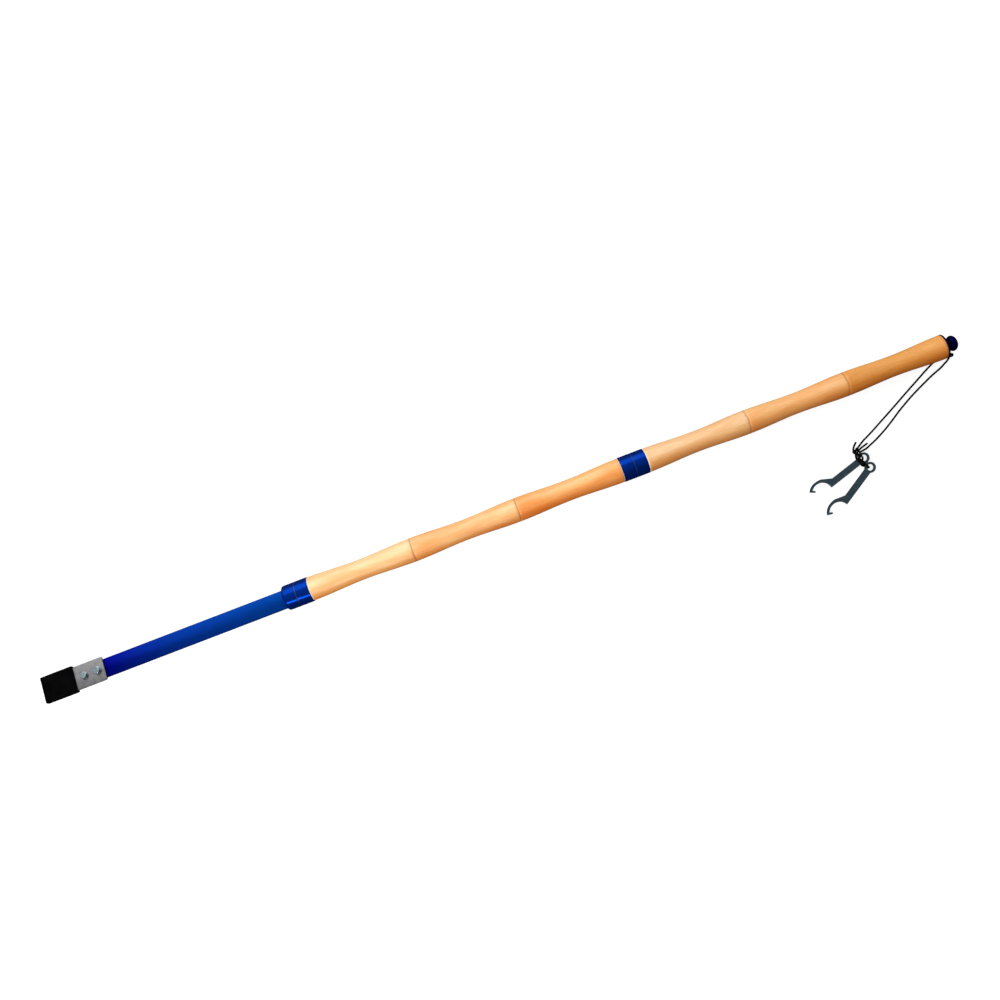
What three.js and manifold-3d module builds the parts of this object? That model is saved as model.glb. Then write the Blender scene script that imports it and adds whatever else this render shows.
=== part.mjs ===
// A two-section boat pole with a rubber-shod flat blade, and two hook spanners on a lanyard.
// Millimetres, +Z up. The pole lies along X on its collars, blade towards -X and knob towards +X.
// The origin is on the surface that it lies on, under the middle of its length.
import * as THREE from 'three';
import { mergeVertices } from 'three/addons/utils/BufferGeometryUtils.js';
import Module from 'manifold-3d';

const wasm = await Module();
wasm.setup();

// ---- Driving dimensions ----
const GAP = 0.3; // between pieces that touch
const ROUND_SIDES = 24; // a facet faces straight down, so the collars sit flat

const BOOT = { length: 53, width: 43, thickness: 9, corner: 3, nose: 9 };
const PLATE = { width: 38, thickness: 3, showing: 48.8, corner: 2.5 };
const BAR = { width: 30, thickness: 5, showing: 303.5, inSocket: 6 };
const BLADE_ROLL = THREE.MathUtils.degToRad(-14);

const COLLAR_RADIUS = 20;
const LOWER_COLLAR_HALF = 21.5;
const MIDDLE_COLLAR_HALF = 20.9;
const COLLAR_SHOULDER = 5.5; // the rounded front of the blade's collar
const NOTCH = { length: 5.5, width: 7, depth: 3.5, angles: [-60, -120] };

const GRIP_SIDES = 16;
const GRIP_STEPS = 8;
const GRIP_WAIST_DEPTH = 2.75; // radius lost at a grip's waist
const FRONT_GRIPS = { lengths: [172.4, 175.5, 173.7], radii: [19.1, 19.1, 19.1, 19.5] };
const REAR_GRIPS = { lengths: [169, 165, 164.4], radii: [19.5, 19.2, 19.2, 19.5] };

const TUBE = { outer: 11, inner: 8.5 }; // the steel core, as radii
const STUD = { radius: 8, engaged: 10.3, inTube: 30, chamfer: 1 };
const SOCKET_RADIUS = 8.6;
const SOCKET_DEPTH = 11;
const WASHER = { thickness: 0.8, radius: 19.2, bore: 8.6 };

const BUTT = { length: 23.4, flange: 2.6, flangeRadius: 19.6, flangeChamfer: 0.8, washerRadius: 10 };
const KNOB = {
  radius: 12.5, half: 7.97, endFlat: 4, neck: 6.5, shoulder: 9, shoulderThickness: 0.7, steps: 9,
};

const TIP_BOLT = {
  radius: 3, hole: 3.3, spacing: 22.1, fromPlateRear: 11.2, acrossFlats: 10, head: 4, nut: 5, past: 1,
};
const TIP_WASHER = { radius: 6, thickness: 1.2 };
const HOLE_SIDES = 16;

const CORD_RADIUS = 1.5;
const CORD_SIDES = 8;
const CORD_STEP = 7.2; // length of one facet of a cord
const HITCH_SLACK = 0.35; // between the cord and the neck that it is tied round
const SPANNER = {
  thickness: 3, ring: 8.8, hole: 5.2, halfWidth: 5.25, jawX: 85.2, jawY: 3.8, jawRadius: 16.7,
  shoulderX: 58.5, strapRoot: 5.8, strapTip: 3.8, nibReach: 4.9, nibAngle: 10.5, reach: 100.9,
};
const SPANNERS = [
  { ring: [571, -119.8], direction: 197.6 },
  { ring: [575, -137.4], direction: 213.2 },
];
// The cord under the rings holds them up, and the jaws all but touch the ground.
const SPANNER_LIFT = { ring: 4, jaw: 0.1 };

// ---- Stations along X, worked out from the dimensions ----
const sum = (values) => values.reduce((total, value) => total + value, 0);
const overall = BOOT.length + PLATE.showing + BAR.showing + 2 * LOWER_COLLAR_HALF
  + sum(FRONT_GRIPS.lengths) + 2 * MIDDLE_COLLAR_HALF + sum(REAR_GRIPS.lengths) + BUTT.length;
const tipX = -overall / 2;
const bootRear = tipX + BOOT.length;
const plateRear = bootRear + PLATE.showing;
const lowerCollarFront = plateRear + BAR.showing;
const lowerSeam = lowerCollarFront + LOWER_COLLAR_HALF;
const frontGripsStart = lowerSeam + LOWER_COLLAR_HALF;
const frontGripsEnd = frontGripsStart + sum(FRONT_GRIPS.lengths);
const middleSeam = frontGripsEnd + MIDDLE_COLLAR_HALF;
const rearGripsStart = middleSeam + MIDDLE_COLLAR_HALF;
const rearGripsEnd = rearGripsStart + sum(REAR_GRIPS.lengths);
const washerSeat = WASHER.thickness / 2 + GAP; // from a seam's middle to each ring's face

// ---- Materials ----
function finish(color, roughness, metalness) {
  return new THREE.MeshStandardMaterial({ color, roughness, metalness });
}

const bluePaint = finish(0x0a3fa0, 0.35, 0.1);
const beech = finish(0xe2a868, 0.55, 0);
const zinc = finish(0xb4b8bc, 0.4, 0.9);
const bareSteel = finish(0x8d9096, 0.35, 0.9);
const darkSteel = finish(0x4a5d68, 0.5, 0.7);
const blackRubber = finish(0x111111, 0.8, 0);
const blueNylon = finish(0x0b2a6a, 0.5, 0);
const blackCord = finish(0x101010, 0.9, 0);

// ---- Shapes ----
const part = new THREE.Group();
const pole = new THREE.Group();
const blade = new THREE.Group();
pole.position.z = COLLAR_RADIUS;
blade.rotation.x = BLADE_ROLL;
pole.add(blade);
part.add(pole);

function addMesh(parent, name, geometry, material) {
  const mesh = new THREE.Mesh(geometry, material.clone());
  mesh.name = name;
  parent.add(mesh);
  return mesh;
}

function toSolid(geometry) {
  const bare = geometry.clone();
  bare.deleteAttribute('normal');
  bare.deleteAttribute('uv');
  const merged = mergeVertices(bare, 1e-4);
  return new wasm.Manifold(new wasm.Mesh({
    numProp: 3,
    vertProperties: new Float32Array(merged.attributes.position.array),
    triVerts: new Uint32Array(merged.index.array),
  }));
}

function toGeometry(solid) {
  const mesh = solid.getMesh();
  const geometry = new THREE.BufferGeometry();
  geometry.setAttribute('position', new THREE.BufferAttribute(new Float32Array(mesh.vertProperties), 3));
  geometry.setIndex(new THREE.BufferAttribute(new Uint32Array(mesh.triVerts), 1));
  geometry.computeVertexNormals();
  return geometry;
}

function cut(geometry, cutters) {
  return toGeometry(cutters.reduce((solid, cutter) => solid.subtract(toSolid(cutter)), toSolid(geometry)));
}

// Turns a profile of [x, radius] points about the X axis. The outside runs towards +X.
function turned(profile, sides = ROUND_SIDES) {
  const points = profile.map(([x, radius]) => new THREE.Vector2(radius, x));
  const geometry = new THREE.LatheGeometry(points, sides, Math.PI / sides);
  geometry.rotateZ(-Math.PI / 2);
  return geometry;
}

// The corner radius of a polygon whose flats are at the stated radius.
const overFlats = (radius) => radius / Math.cos(Math.PI / ROUND_SIDES);

function tubeProfile(x0, x1, outer, inner, chamfer = 0) {
  const rear = chamfer ? [[x1 - chamfer, outer], [x1, outer - chamfer]] : [[x1, outer]];
  return [[x0, inner], [x0, outer], ...rear, [x1, inner], [x0, inner]];
}

function block(x0, x1, width, z0, z1) {
  const geometry = new THREE.BoxGeometry(x1 - x0, width, z1 - z0);
  geometry.translate((x0 + x1) / 2, 0, (z0 + z1) / 2);
  return geometry;
}

function roundedPlate(x0, x1, width, z0, z1, radius) {
  const [left, right, low, high] = [x0, x1, -width / 2, width / 2];
  const outline = new THREE.Shape();
  outline.moveTo(left + radius, low);
  outline.lineTo(right - radius, low);
  outline.absarc(right - radius, low + radius, radius, -Math.PI / 2, 0);
  outline.lineTo(right, high - radius);
  outline.absarc(right - radius, high - radius, radius, 0, Math.PI / 2);
  outline.lineTo(left + radius, high);
  outline.absarc(left + radius, high - radius, radius, Math.PI / 2, Math.PI);
  outline.lineTo(left, low + radius);
  outline.absarc(left + radius, low + radius, radius, Math.PI, 1.5 * Math.PI);
  const settings = { depth: z1 - z0, bevelEnabled: false, curveSegments: 4 };
  const geometry = new THREE.ExtrudeGeometry(outline, settings);
  geometry.translate(0, 0, z0);
  return geometry;
}

// A round or six-sided bar standing along Z.
function upright(x, radius, z0, z1, sides) {
  const geometry = new THREE.CylinderGeometry(radius, radius, z1 - z0, sides);
  geometry.rotateX(Math.PI / 2);
  geometry.translate(x, 0, (z0 + z1) / 2);
  return geometry;
}

// ---- The blade: rubber boot, tip plate, two bolts and the painted bar ----
const plateLow = -PLATE.thickness / 2;
const plateHigh = PLATE.thickness / 2;
const barHigh = plateLow - GAP;
const barLow = barHigh - BAR.thickness;
const barFront = bootRear + 2;
const barRear = lowerCollarFront + BAR.inSocket;
const boltStations = [0, 1].map((i) => plateRear - TIP_BOLT.fromPlateRear - i * TIP_BOLT.spacing);
const boltHoles = (z0, z1) => boltStations.map((x) => upright(x, TIP_BOLT.hole, z0 - 1, z1 + 1, HOLE_SIDES));

function addBlade() {
  const plateFront = tipX + BOOT.nose;
  const bootHigh = BOOT.thickness / 2;
  const pocketWidth = PLATE.width + 2 * GAP;
  const pocket = block(plateFront - GAP, bootRear + 1, pocketWidth, plateLow - GAP, plateHigh + GAP);
  const bootBlank = roundedPlate(tipX, bootRear, BOOT.width, -bootHigh, bootHigh, BOOT.corner);
  addMesh(blade, 'rubber_boot', cut(bootBlank, [pocket]), blackRubber);
  const plate = roundedPlate(plateFront, plateRear, PLATE.width, plateLow, plateHigh, PLATE.corner);
  addMesh(blade, 'tip_plate', cut(plate, boltHoles(plateLow, plateHigh)), zinc);
  const bar = block(barFront, barRear, BAR.width, barLow, barHigh);
  addMesh(blade, 'blade_bar', cut(bar, boltHoles(barLow, barHigh)), bluePaint);
}

function addTipFasteners() {
  const hexRadius = TIP_BOLT.acrossFlats / Math.sqrt(3);
  const headWasherLow = plateHigh + GAP;
  const headLow = headWasherLow + TIP_WASHER.thickness + GAP;
  const nutWasherHigh = barLow - GAP;
  const nutHigh = nutWasherHigh - TIP_WASHER.thickness - GAP;
  const nutLow = nutHigh - TIP_BOLT.nut;
  boltStations.forEach((x, i) => {
    const shank = upright(x, TIP_BOLT.radius, nutLow - TIP_BOLT.past, headLow + 1, HOLE_SIDES);
    const head = upright(x, hexRadius, headLow, headLow + TIP_BOLT.head, 6);
    const hole = upright(x, TIP_BOLT.hole, nutLow - 2, headLow, HOLE_SIDES);
    const washer = (z) => {
      const disc = upright(x, TIP_WASHER.radius, z, z + TIP_WASHER.thickness, ROUND_SIDES);
      return cut(disc, [hole]);
    };
    const nut = upright(x, hexRadius, nutLow, nutHigh, 6);
    addMesh(blade, `tip_bolt_${i + 1}`, toGeometry(toSolid(shank).add(toSolid(head))), zinc);
    addMesh(blade, `tip_head_washer_${i + 1}`, washer(headWasherLow), zinc);
    addMesh(blade, `tip_nut_washer_${i + 1}`, washer(nutWasherHigh - TIP_WASHER.thickness), zinc);
    addMesh(blade, `tip_nut_${i + 1}`, cut(nut, [hole]), zinc);
  });
}

// ---- Collar halves, with notches underneath for the hook spanners ----
function notches(x0, x1) {
  const middle = (x0 + x1) / 2;
  return NOTCH.angles.map((angle) => {
    const notch = new THREE.BoxGeometry(NOTCH.length, NOTCH.width, 2 * NOTCH.depth);
    notch.translate(middle, 0, COLLAR_RADIUS);
    notch.rotateX(THREE.MathUtils.degToRad(angle - 90));
    return notch;
  });
}

function collarHalf(x0, x1, bore) {
  const profile = tubeProfile(x0, x1, overFlats(COLLAR_RADIUS), bore);
  return cut(turned(profile), notches(x0, x1));
}

function addBladeRing() {
  const front = lowerCollarFront;
  const rear = lowerSeam - washerSeat;
  const outer = overFlats(COLLAR_RADIUS);
  const shoulder = [0, 30, 60, 90].map((degrees) => {
    const angle = THREE.MathUtils.degToRad(degrees);
    return [
      front + COLLAR_SHOULDER * (1 - Math.cos(angle)), outer - COLLAR_SHOULDER * (1 - Math.sin(angle)),
    ];
  });
  const blank = turned([
    [front, 0], ...shoulder, [rear, outer],
    [rear, SOCKET_RADIUS], [rear - SOCKET_DEPTH, SOCKET_RADIUS], [rear - SOCKET_DEPTH, 0],
  ]);
  const slot = block(front - 1, barRear + GAP, BAR.width + 2 * GAP, barLow - GAP, barHigh + GAP);
  slot.rotateX(BLADE_ROLL);
  addMesh(pole, 'blade_ring', cut(blank, [slot, ...notches(front, rear)]), bluePaint);
}

function addWasher(name, seam) {
  const half = WASHER.thickness / 2;
  const profile = tubeProfile(seam - half, seam + half, WASHER.radius, WASHER.bore);
  addMesh(pole, name, turned(profile), blueNylon);
}

// ---- A handle section: stud and ring in front, steel core, three turned grips ----
function gripProfile(x0, x1, radius0, radius1) {
  const bore = TUBE.outer + 2 * GAP; // clear of the tube's corners
  const profile = [[x0, bore]];
  for (let i = 0; i <= GRIP_STEPS; i += 1) {
    const share = i / GRIP_STEPS;
    const dip = GRIP_WAIST_DEPTH * (1 - Math.cos(2 * Math.PI * share)) / 2;
    profile.push([x0 + (x1 - x0) * share, radius0 + (radius1 - radius0) * share - dip]);
  }
  profile.push([x1, bore], [x0, bore]);
  return profile;
}

function addHandleSection(name, seam, half, grips) {
  const gripsStart = seam + half;
  const gripsEnd = gripsStart + sum(grips.lengths);
  const ring = collarHalf(seam + washerSeat, gripsStart - GAP / 2, SOCKET_RADIUS);
  addMesh(pole, `${name}_front_ring`, ring, bluePaint);
  const studFront = seam - washerSeat - STUD.engaged;
  const stud = turned([
    [studFront, 0], [studFront, STUD.radius - STUD.chamfer], [studFront + STUD.chamfer, STUD.radius],
    [gripsStart + STUD.inTube, STUD.radius], [gripsStart + STUD.inTube, 0],
  ]);
  addMesh(pole, `${name}_stud`, stud, bareSteel);
  const tube = tubeProfile(gripsStart + GAP / 2, gripsEnd - GAP / 2, TUBE.outer, TUBE.inner);
  addMesh(pole, `${name}_core_tube`, turned(tube), bareSteel);
  let start = gripsStart;
  grips.lengths.forEach((length, i) => {
    const end = start + length;
    const profile = gripProfile(start + GAP / 2, end - GAP / 2, grips.radii[i], grips.radii[i + 1]);
    addMesh(pole, `${name}_grip_${i + 1}`, turned(profile, GRIP_SIDES), beech);
    start = end;
  });
}

// ---- The butt: flange, washer and the screwed-in knob ----
const flangeStart = rearGripsEnd + GAP / 2;
const flangeEnd = flangeStart + BUTT.flange;
const buttWasherStart = flangeEnd + GAP;
const knobStart = buttWasherStart + WASHER.thickness + GAP;
const knobEnd = rearGripsEnd + BUTT.length;
const knobCentre = knobEnd - KNOB.half * Math.sqrt(1 - (KNOB.endFlat / KNOB.radius) ** 2);
const neckEnd = knobCentre - KNOB.half * Math.sqrt(1 - (KNOB.neck / KNOB.radius) ** 2);

function addButt() {
  const flange = tubeProfile(flangeStart, flangeEnd, BUTT.flangeRadius, SOCKET_RADIUS, BUTT.flangeChamfer);
  addMesh(pole, 'butt_flange', turned(flange), bluePaint);
  const washerEnd = buttWasherStart + WASHER.thickness;
  const washer = tubeProfile(buttWasherStart, washerEnd, BUTT.washerRadius, WASHER.bore);
  addMesh(pole, 'butt_washer', turned(washer), blueNylon);
  const studFront = flangeEnd - STUD.engaged - GAP;
  const profile = [
    [studFront, 0], [studFront, STUD.radius - STUD.chamfer], [studFront + STUD.chamfer, STUD.radius],
    [knobStart, STUD.radius], [knobStart, KNOB.shoulder],
    [knobStart + KNOB.shoulderThickness, KNOB.shoulder], [knobStart + KNOB.shoulderThickness, KNOB.neck],
    [neckEnd, KNOB.neck],
  ];
  const from = Math.acos((knobCentre - neckEnd) / KNOB.half);
  const to = Math.PI - Math.acos((knobEnd - knobCentre) / KNOB.half);
  for (let i = 1; i <= KNOB.steps; i += 1) {
    const angle = from + (to - from) * i / KNOB.steps;
    profile.push([knobCentre - KNOB.half * Math.cos(angle), KNOB.radius * Math.sin(angle)]);
  }
  profile.push([knobEnd, 0]);
  addMesh(pole, 'butt_knob', turned(profile), bluePaint);
}

// ---- The lanyard: a hitch round the neck, two strands, a knot and a loop through both rings ----
const hitchX = knobStart + KNOB.shoulderThickness + 2 * GAP + CORD_RADIUS;
const HITCH_RING = KNOB.neck + HITCH_SLACK + CORD_RADIUS;
const HITCH_KNOT = { place: [755.5, -16.2, 8.8], radius: 4.4 };
const HITCH_LINK = { angle: 216.5, radius: 1.8 }; // where it leaves the ring of cord, in degrees from +Y
const KNOT = { place: [564, -106.6, 5.2], size: [5, 5.2, 5] };

const STRAND_A = [
  [753.4, -19.8, 6.4], [751.6, -22.3, 3.9], [749.2, -24.2, 2.3], [745.5, -26.2, 1.7], [736.8, -30.6, 1.6],
  [721.5, -36.2, 1.6], [706.3, -42.7, 1.6], [679, -55.4, 1.6], [652.4, -70.1, 1.6], [634.5, -81.5, 1.6],
  [618.2, -91.1, 1.6], [601.7, -99.4, 1.6], [590.5, -104.1, 1.6], [580.6, -107.8, 1.6], [570.6, -109.2, 2.2],
];
const STRAND_B = [
  [752, -14.8, 5.9], [749.8, -14, 3.7], [747.2, -13.8, 2.3], [743.5, -14.2, 1.8], [735.6, -16.3, 1.6],
  [725.9, -19.9, 1.6], [711.4, -26.9, 1.6], [696.4, -34.8, 1.6], [669, -49.1, 1.6], [641.8, -63.6, 1.6],
  [615, -77.5, 1.6], [600.8, -84.9, 1.6], [587.3, -91.4, 1.6], [580.5, -94.6, 1.6], [568.4, -101.8, 2.6],
];
const LOOP = [
  [562.6, -111.8, 8.9], [562.6, -115.4, 9.1], [564, -120.2, 9.2], [567, -124.8, 9.2], [568.9, -128.9, 9.2],
  [569.9, -132.3, 9.2], [571.7, -134.9, 8.8], [572.7, -136.6, 6.3], [572.7, -137, 3.5], [572, -136.2, 1.75],
  [570.3, -132, 1.6], [568.8, -127.2, 1.6], [568.6, -124, 1.8], [568.8, -121.6, 3.4], [568.7, -119.8, 6.6],
  [567.9, -116.6, 8.9], [566.6, -113.4, 9.1], [565.9, -111.7, 8.7],
];

const toVectors = (points) => points.map(([x, y, z]) => new THREE.Vector3(x, y, z));

// The corners of a cord's cross-section, as [across, up].
const cordSection = Array.from({ length: CORD_SIDES }, (_, i) => {
  const angle = (i + 0.5) * 2 * Math.PI / CORD_SIDES;
  return [CORD_RADIUS * Math.cos(angle), CORD_RADIUS * Math.sin(angle)];
});

function cordAlong(points) {
  const section = new THREE.Shape(cordSection.map(([across, up]) => new THREE.Vector2(across, up)));
  const path = new THREE.CatmullRomCurve3(toVectors(points), false, 'centripetal');
  const steps = Math.max(30, Math.round(path.getLength() / CORD_STEP));
  return new THREE.ExtrudeGeometry(section, { steps, extrudePath: path, bevelEnabled: false });
}

// The hitch: a ring of cord round the neck, and a link from it to the knot beside the knob.
function hitchSolid() {
  const section = cordSection.map(([across, up]) => [hitchX - across, HITCH_RING + up]);
  const ring = toSolid(turned([...section, section[0]]));
  const [x, y, z] = HITCH_KNOT.place;
  const knotCentre = new THREE.Vector3(x, y, z - COLLAR_RADIUS);
  const knot = new THREE.SphereGeometry(HITCH_KNOT.radius, 12, 8);
  knot.translate(...knotCentre.toArray());
  const angle = THREE.MathUtils.degToRad(HITCH_LINK.angle);
  const linkStart = new THREE.Vector3(hitchX, HITCH_RING * Math.cos(angle), HITCH_RING * Math.sin(angle));
  const span = knotCentre.clone().sub(linkStart);
  const link = new THREE.CylinderGeometry(HITCH_LINK.radius, HITCH_LINK.radius, span.length(), CORD_SIDES);
  const upward = new THREE.Vector3(0, 1, 0);
  link.applyQuaternion(new THREE.Quaternion().setFromUnitVectors(upward, span.normalize()));
  link.translate(...linkStart.add(knotCentre).divideScalar(2).toArray());
  return ring.add(toSolid(knot)).add(toSolid(link));
}

function addLanyard() {
  addMesh(pole, 'lanyard_hitch', toGeometry(hitchSolid()), blackCord);
  addMesh(part, 'lanyard_strand_a', cordAlong(STRAND_A), blackCord);
  addMesh(part, 'lanyard_strand_b', cordAlong(STRAND_B), blackCord);
  addMesh(part, 'lanyard_loop', cordAlong(LOOP), blackCord);
  const knot = addMesh(part, 'lanyard_knot', new THREE.SphereGeometry(1, 12, 8), blackCord);
  knot.geometry.scale(...KNOT.size);
  knot.position.set(...KNOT.place);
}

// ---- A hook spanner, cut from plate: eye, handle, curved jaw and nib ----
function jawPoint(angle, radius) {
  const turn = THREE.MathUtils.degToRad(angle);
  return new THREE.Vector2(SPANNER.jawX + radius * Math.cos(turn), SPANNER.jawY + radius * Math.sin(turn));
}

function strapThickness(angle) {
  const share = THREE.MathUtils.smoothstep(angle, 222, 268);
  return THREE.MathUtils.lerp(SPANNER.strapRoot, SPANNER.strapTip, share);
}

function spannerOutline() {
  const edge = SPANNER.halfWidth;
  const outline = new THREE.Shape();
  const joinAngle = Math.asin(edge / SPANNER.ring);
  const innerStart = 180 - THREE.MathUtils.radToDeg(Math.asin((edge - SPANNER.jawY) / SPANNER.jawRadius));
  const [strapStart, jawEnd, arcStep] = [226, 319, 6];
  outline.moveTo(SPANNER.ring * Math.cos(joinAngle), -edge);
  outline.lineTo(SPANNER.shoulderX, -edge);
  for (let angle = strapStart; angle < jawEnd; angle += arcStep) {
    const point = jawPoint(angle, SPANNER.jawRadius + strapThickness(angle));
    outline.lineTo(point.x, point.y);
  }
  const nibTip = SPANNER.jawRadius - SPANNER.nibReach;
  const nibCorners = [
    jawPoint(jawEnd, SPANNER.jawRadius + SPANNER.strapTip), jawPoint(jawEnd, nibTip),
    jawPoint(jawEnd - SPANNER.nibAngle * SPANNER.jawRadius / nibTip, nibTip),
  ];
  nibCorners.forEach((corner) => outline.lineTo(corner.x, corner.y));
  for (let angle = jawEnd - SPANNER.nibAngle; angle > innerStart; angle -= arcStep) {
    const point = jawPoint(angle, SPANNER.jawRadius);
    outline.lineTo(point.x, point.y);
  }
  const corner = jawPoint(innerStart, SPANNER.jawRadius);
  outline.lineTo(corner.x, corner.y);
  outline.lineTo(SPANNER.ring * Math.cos(joinAngle), edge);
  outline.absarc(0, 0, SPANNER.ring, joinAngle, 2 * Math.PI - joinAngle);
  const eye = new THREE.Path();
  eye.absarc(0, 0, SPANNER.hole, 0, 2 * Math.PI, true);
  outline.holes.push(eye);
  return outline;
}

function addSpanner(name, [x, y], direction) {
  const plate = { depth: SPANNER.thickness, bevelEnabled: false, curveSegments: 28 };
  const tilt = Math.asin((SPANNER_LIFT.ring - SPANNER_LIFT.jaw) / SPANNER.reach);
  const turntable = new THREE.Group();
  turntable.position.set(x, y, SPANNER_LIFT.ring);
  turntable.rotation.z = THREE.MathUtils.degToRad(direction);
  part.add(turntable);
  const spanner = addMesh(turntable, name, new THREE.ExtrudeGeometry(spannerOutline(), plate), darkSteel);
  spanner.rotation.y = tilt;
}

addBlade();
addTipFasteners();
addBladeRing();
addWasher('blade_washer', lowerSeam);
addHandleSection('front_section', lowerSeam, LOWER_COLLAR_HALF, FRONT_GRIPS);
const rearRing = collarHalf(frontGripsEnd + GAP / 2, middleSeam - washerSeat, SOCKET_RADIUS);
addMesh(pole, 'front_section_rear_ring', rearRing, bluePaint);
addWasher('middle_washer', middleSeam);
addHandleSection('rear_section', middleSeam, MIDDLE_COLLAR_HALF, REAR_GRIPS);
addButt();
addLanyard();
SPANNERS.forEach(({ ring, direction }, i) => addSpanner(`hook_spanner_${i + 1}`, ring, direction));

export default part;
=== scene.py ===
"""A sectional boat pole with a rubber-shod blade, lying on a pale floor with its hook spanners on a cord.

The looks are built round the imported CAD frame. Metres, +Z up, the pole along X.
"""

import math

import bmesh
import bpy
from mathutils import Matrix, Vector


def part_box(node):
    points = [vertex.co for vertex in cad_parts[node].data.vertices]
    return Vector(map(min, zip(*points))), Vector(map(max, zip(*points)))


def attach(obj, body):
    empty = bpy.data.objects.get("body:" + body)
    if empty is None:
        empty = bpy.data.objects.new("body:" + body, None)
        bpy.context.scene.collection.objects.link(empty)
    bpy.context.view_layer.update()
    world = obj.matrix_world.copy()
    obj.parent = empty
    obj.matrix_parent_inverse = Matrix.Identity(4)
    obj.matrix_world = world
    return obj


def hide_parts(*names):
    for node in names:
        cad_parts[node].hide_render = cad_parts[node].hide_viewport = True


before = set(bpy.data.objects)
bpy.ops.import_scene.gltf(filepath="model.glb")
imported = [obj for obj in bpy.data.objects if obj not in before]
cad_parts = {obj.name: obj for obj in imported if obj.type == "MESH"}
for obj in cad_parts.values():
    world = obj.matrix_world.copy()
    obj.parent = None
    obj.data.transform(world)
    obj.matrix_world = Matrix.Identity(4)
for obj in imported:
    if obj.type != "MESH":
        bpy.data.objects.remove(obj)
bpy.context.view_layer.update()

MM = 0.001
AXIS_Z = 20 * MM  # the pole's axis above the floor
BLADE_ROLL = math.radians(-14)
THREAD_PITCH = 2 * MM
THREAD_SIDES = 48  # segments round a thread
CORD_RADIUS = 1.5 * MM
ROUND = 96  # segments round a turned piece


# ---------------------------------------------------------------- camera, floor and light

CAMERA_PLACE = (8.9 * MM, 24.1 * MM, 1653 * MM)
CAMERA_TURN = math.radians(-20.967)
CAMERA_LENS = 37.44


def aim(obj, target):
    """Points a light or camera at a place."""
    obj.rotation_euler = (Vector(target) - obj.location).to_track_quat("-Z", "Y").to_euler()


def make_camera():
    data = bpy.data.cameras.new("camera")
    data.lens = CAMERA_LENS
    data.sensor_width = 36
    data.clip_start = 0.05
    camera = bpy.data.objects.new("camera", data)
    camera.location = CAMERA_PLACE
    camera.rotation_euler = (0, 0, CAMERA_TURN)
    bpy.context.scene.collection.objects.link(camera)
    bpy.context.scene.camera = camera


def area_light(name, place, target, size, power, shown=True):
    """A rectangular light. One that isn't shown leaves no reflection in glossy surfaces."""
    data = bpy.data.lights.new(name, "AREA")
    data.shape = "RECTANGLE"
    data.size, data.size_y = size
    data.energy = power
    light = bpy.data.objects.new(name, data)
    light.location = place
    aim(light, target)
    light.visible_glossy = shown
    bpy.context.scene.collection.objects.link(light)


def make_light():
    """A sky that is dark on the -Y side, a large softbox behind the pole, and a strip and a fill in front."""
    world = bpy.data.worlds.new("studio")
    world.use_nodes = True
    tree = world.node_tree
    background = tree.nodes["Background"]
    place = tree.nodes.new("ShaderNodeTexCoord")
    towards_light = tree.nodes.new("ShaderNodeVectorMath")
    towards_light.operation = "DOT_PRODUCT"
    towards_light.inputs[1].default_value = (-0.2, 0.7, 0.66)
    shade = tree.nodes.new("ShaderNodeValToRGB")
    tree.links.new(place.outputs["Generated"], towards_light.inputs[0])
    tree.links.new(towards_light.outputs["Value"], shade.inputs["Fac"])
    tree.links.new(shade.outputs["Color"], background.inputs["Color"])
    dark, bright = shade.color_ramp.elements
    dark.position, dark.color = 0.1, (0.03, 0.03, 0.03, 1)
    bright.position, bright.color = 0.9, (1, 1, 1, 1)
    background.inputs["Strength"].default_value = 0.75
    bpy.context.scene.world = world
    area_light("softbox", (-0.35, 1.6, 0.95), (-0.1, 0, 0), (2.5, 1.6), 34)
    area_light("strip", (-0.67, -1.05, 1.04), (-0.35, 0, 0.02), (0.9, 0.07), 11)
    area_light("fill", (-1.1, -1.1, 1.4), (-0.3, 0, 0), (1.6, 1.6), 15, shown=False)
    bpy.context.scene.view_settings.view_transform = "Standard"


def make_floor():
    half = 6.0
    mesh = bpy.data.meshes.new("floor")
    corners = [(-half, -half, 0), (half, -half, 0), (half, half, 0), (-half, half, 0)]
    mesh.from_pydata(corners, [], [(0, 1, 2, 3)])
    floor = bpy.data.objects.new("floor", mesh)
    bpy.context.scene.collection.objects.link(floor)
    material, _, shader = new_material("floor_paper", (0.45, 0.45, 0.45), roughness=0.9)
    shader.inputs["Specular IOR Level"].default_value = 0.0
    shader.inputs["Emission Color"].default_value = (1, 1, 1, 1)
    shader.inputs["Emission Strength"].default_value = 0.78
    mesh.materials.append(material)
    floor.visible_glossy = False
    floor.visible_diffuse = False


# ---------------------------------------------------------------- materials


def new_material(name, colour, roughness=0.5, metallic=0.0):
    """A material, a function that adds a node to it, and its shader."""
    material = bpy.data.materials.new(name)
    material.use_nodes = True
    tree = material.node_tree
    shader = tree.nodes["Principled BSDF"]
    shader.inputs["Base Color"].default_value = (*colour, 1)
    shader.inputs["Roughness"].default_value = roughness
    shader.inputs["Metallic"].default_value = metallic

    def add(kind, links=(), **settings):
        """Adds a node, sets its properties and inputs, and links (its input, source socket) pairs."""
        node = tree.nodes.new(kind)
        for key, value in settings.items():
            if key in node.inputs:
                node.inputs[key].default_value = value
            else:
                setattr(node, key, value)
        for socket, source in links:
            tree.links.new(source, node.inputs[socket])
        return node

    return material, add, shader


def connect(source, target):
    target.id_data.links.new(source, target)


def scaled_place(add, scale, location=(0, 0, 0), rotation=(0, 0, 0)):
    """The place on the object, in the row frame, stretched for a texture."""
    place = add("ShaderNodeTexCoord")
    return add(
        "ShaderNodeMapping",
        [("Vector", place.outputs["Object"])],
        Scale=scale,
        Location=location,
        Rotation=rotation,
    ).outputs["Vector"]


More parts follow.
